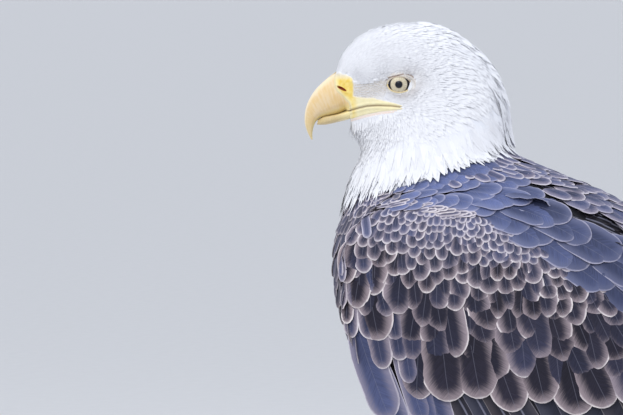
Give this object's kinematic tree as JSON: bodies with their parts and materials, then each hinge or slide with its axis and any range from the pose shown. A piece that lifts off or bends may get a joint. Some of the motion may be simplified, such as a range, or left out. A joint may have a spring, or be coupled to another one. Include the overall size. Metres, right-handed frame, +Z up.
{
  "type": "bald eagle",
  "caption": "Life-size standing adult bald eagle, wings loosely folded and head turned a little to its left, as a still museum-style model.",
  "frame": {"origin": "centre of the bird's bounding box, on the ground under its feet", "axes": "+Z up; the body faces -Y; the bird's own left side is at +X; the head is turned 20 degrees towards +X"},
  "size_m": [0.252, 0.5768, 0.6992],
  "materials": {
    "white_coat": "soft white feathers of head, neck and tail coverts, faintly blue in shade",
    "brown_coat": "dark grey-brown body feathers with pale buff edges",
    "flight_feathers": "smooth dark slate-brown vanes with a slight sheen",
    "tail_feathers": "white vanes with ivory shafts",
    "bill_horn": "semi-gloss yellow horn, paler and greyer towards the hook",
    "cere_skin": "waxy bright yellow skin of the cere, gape and eyelids",
    "eye": "wet gloss over a pale cream iris and black pupil",
    "foot_skin": "yellow scaled skin",
    "claw_horn": "polished black horn"
  },
  "bodies": {
    "root": {"bill_lower": "bill_horn", "bill_upper": "bill_horn", "cere": "cere_skin", "eye_left": "eye", "eye_right": "eye", "head": "white_coat", "hind_claw_left": "claw_horn", "hind_claw_right": "claw_horn", "hind_toe_left": "foot_skin", "hind_toe_right": "foot_skin", "inner_claw_left": "claw_horn", "inner_claw_right": "claw_horn", "inner_toe_left": "foot_skin", "inner_toe_right": "foot_skin", "middle_claw_left": "claw_horn", "middle_claw_right": "claw_horn", "middle_toe_left": "foot_skin", "middle_toe_right": "foot_skin", "neck": "white_coat", "outer_claw_left": "claw_horn", "outer_claw_right": "claw_horn", "outer_toe_left": "foot_skin", "outer_toe_right": "foot_skin", "shank_left": "foot_skin", "shank_right": "foot_skin", "tail": "tail_feathers", "tail_root": "white_coat", "thigh_left": "brown_coat", "thigh_right": "brown_coat", "trunk": "brown_coat", "wing_left_coverts": "brown_coat", "wing_left_primaries": "flight_feathers", "wing_left_secondaries": "flight_feathers", "wing_right_coverts": "brown_coat", "wing_right_primaries": "flight_feathers", "wing_right_secondaries": "flight_feathers"}
  },
  "joints": []
}
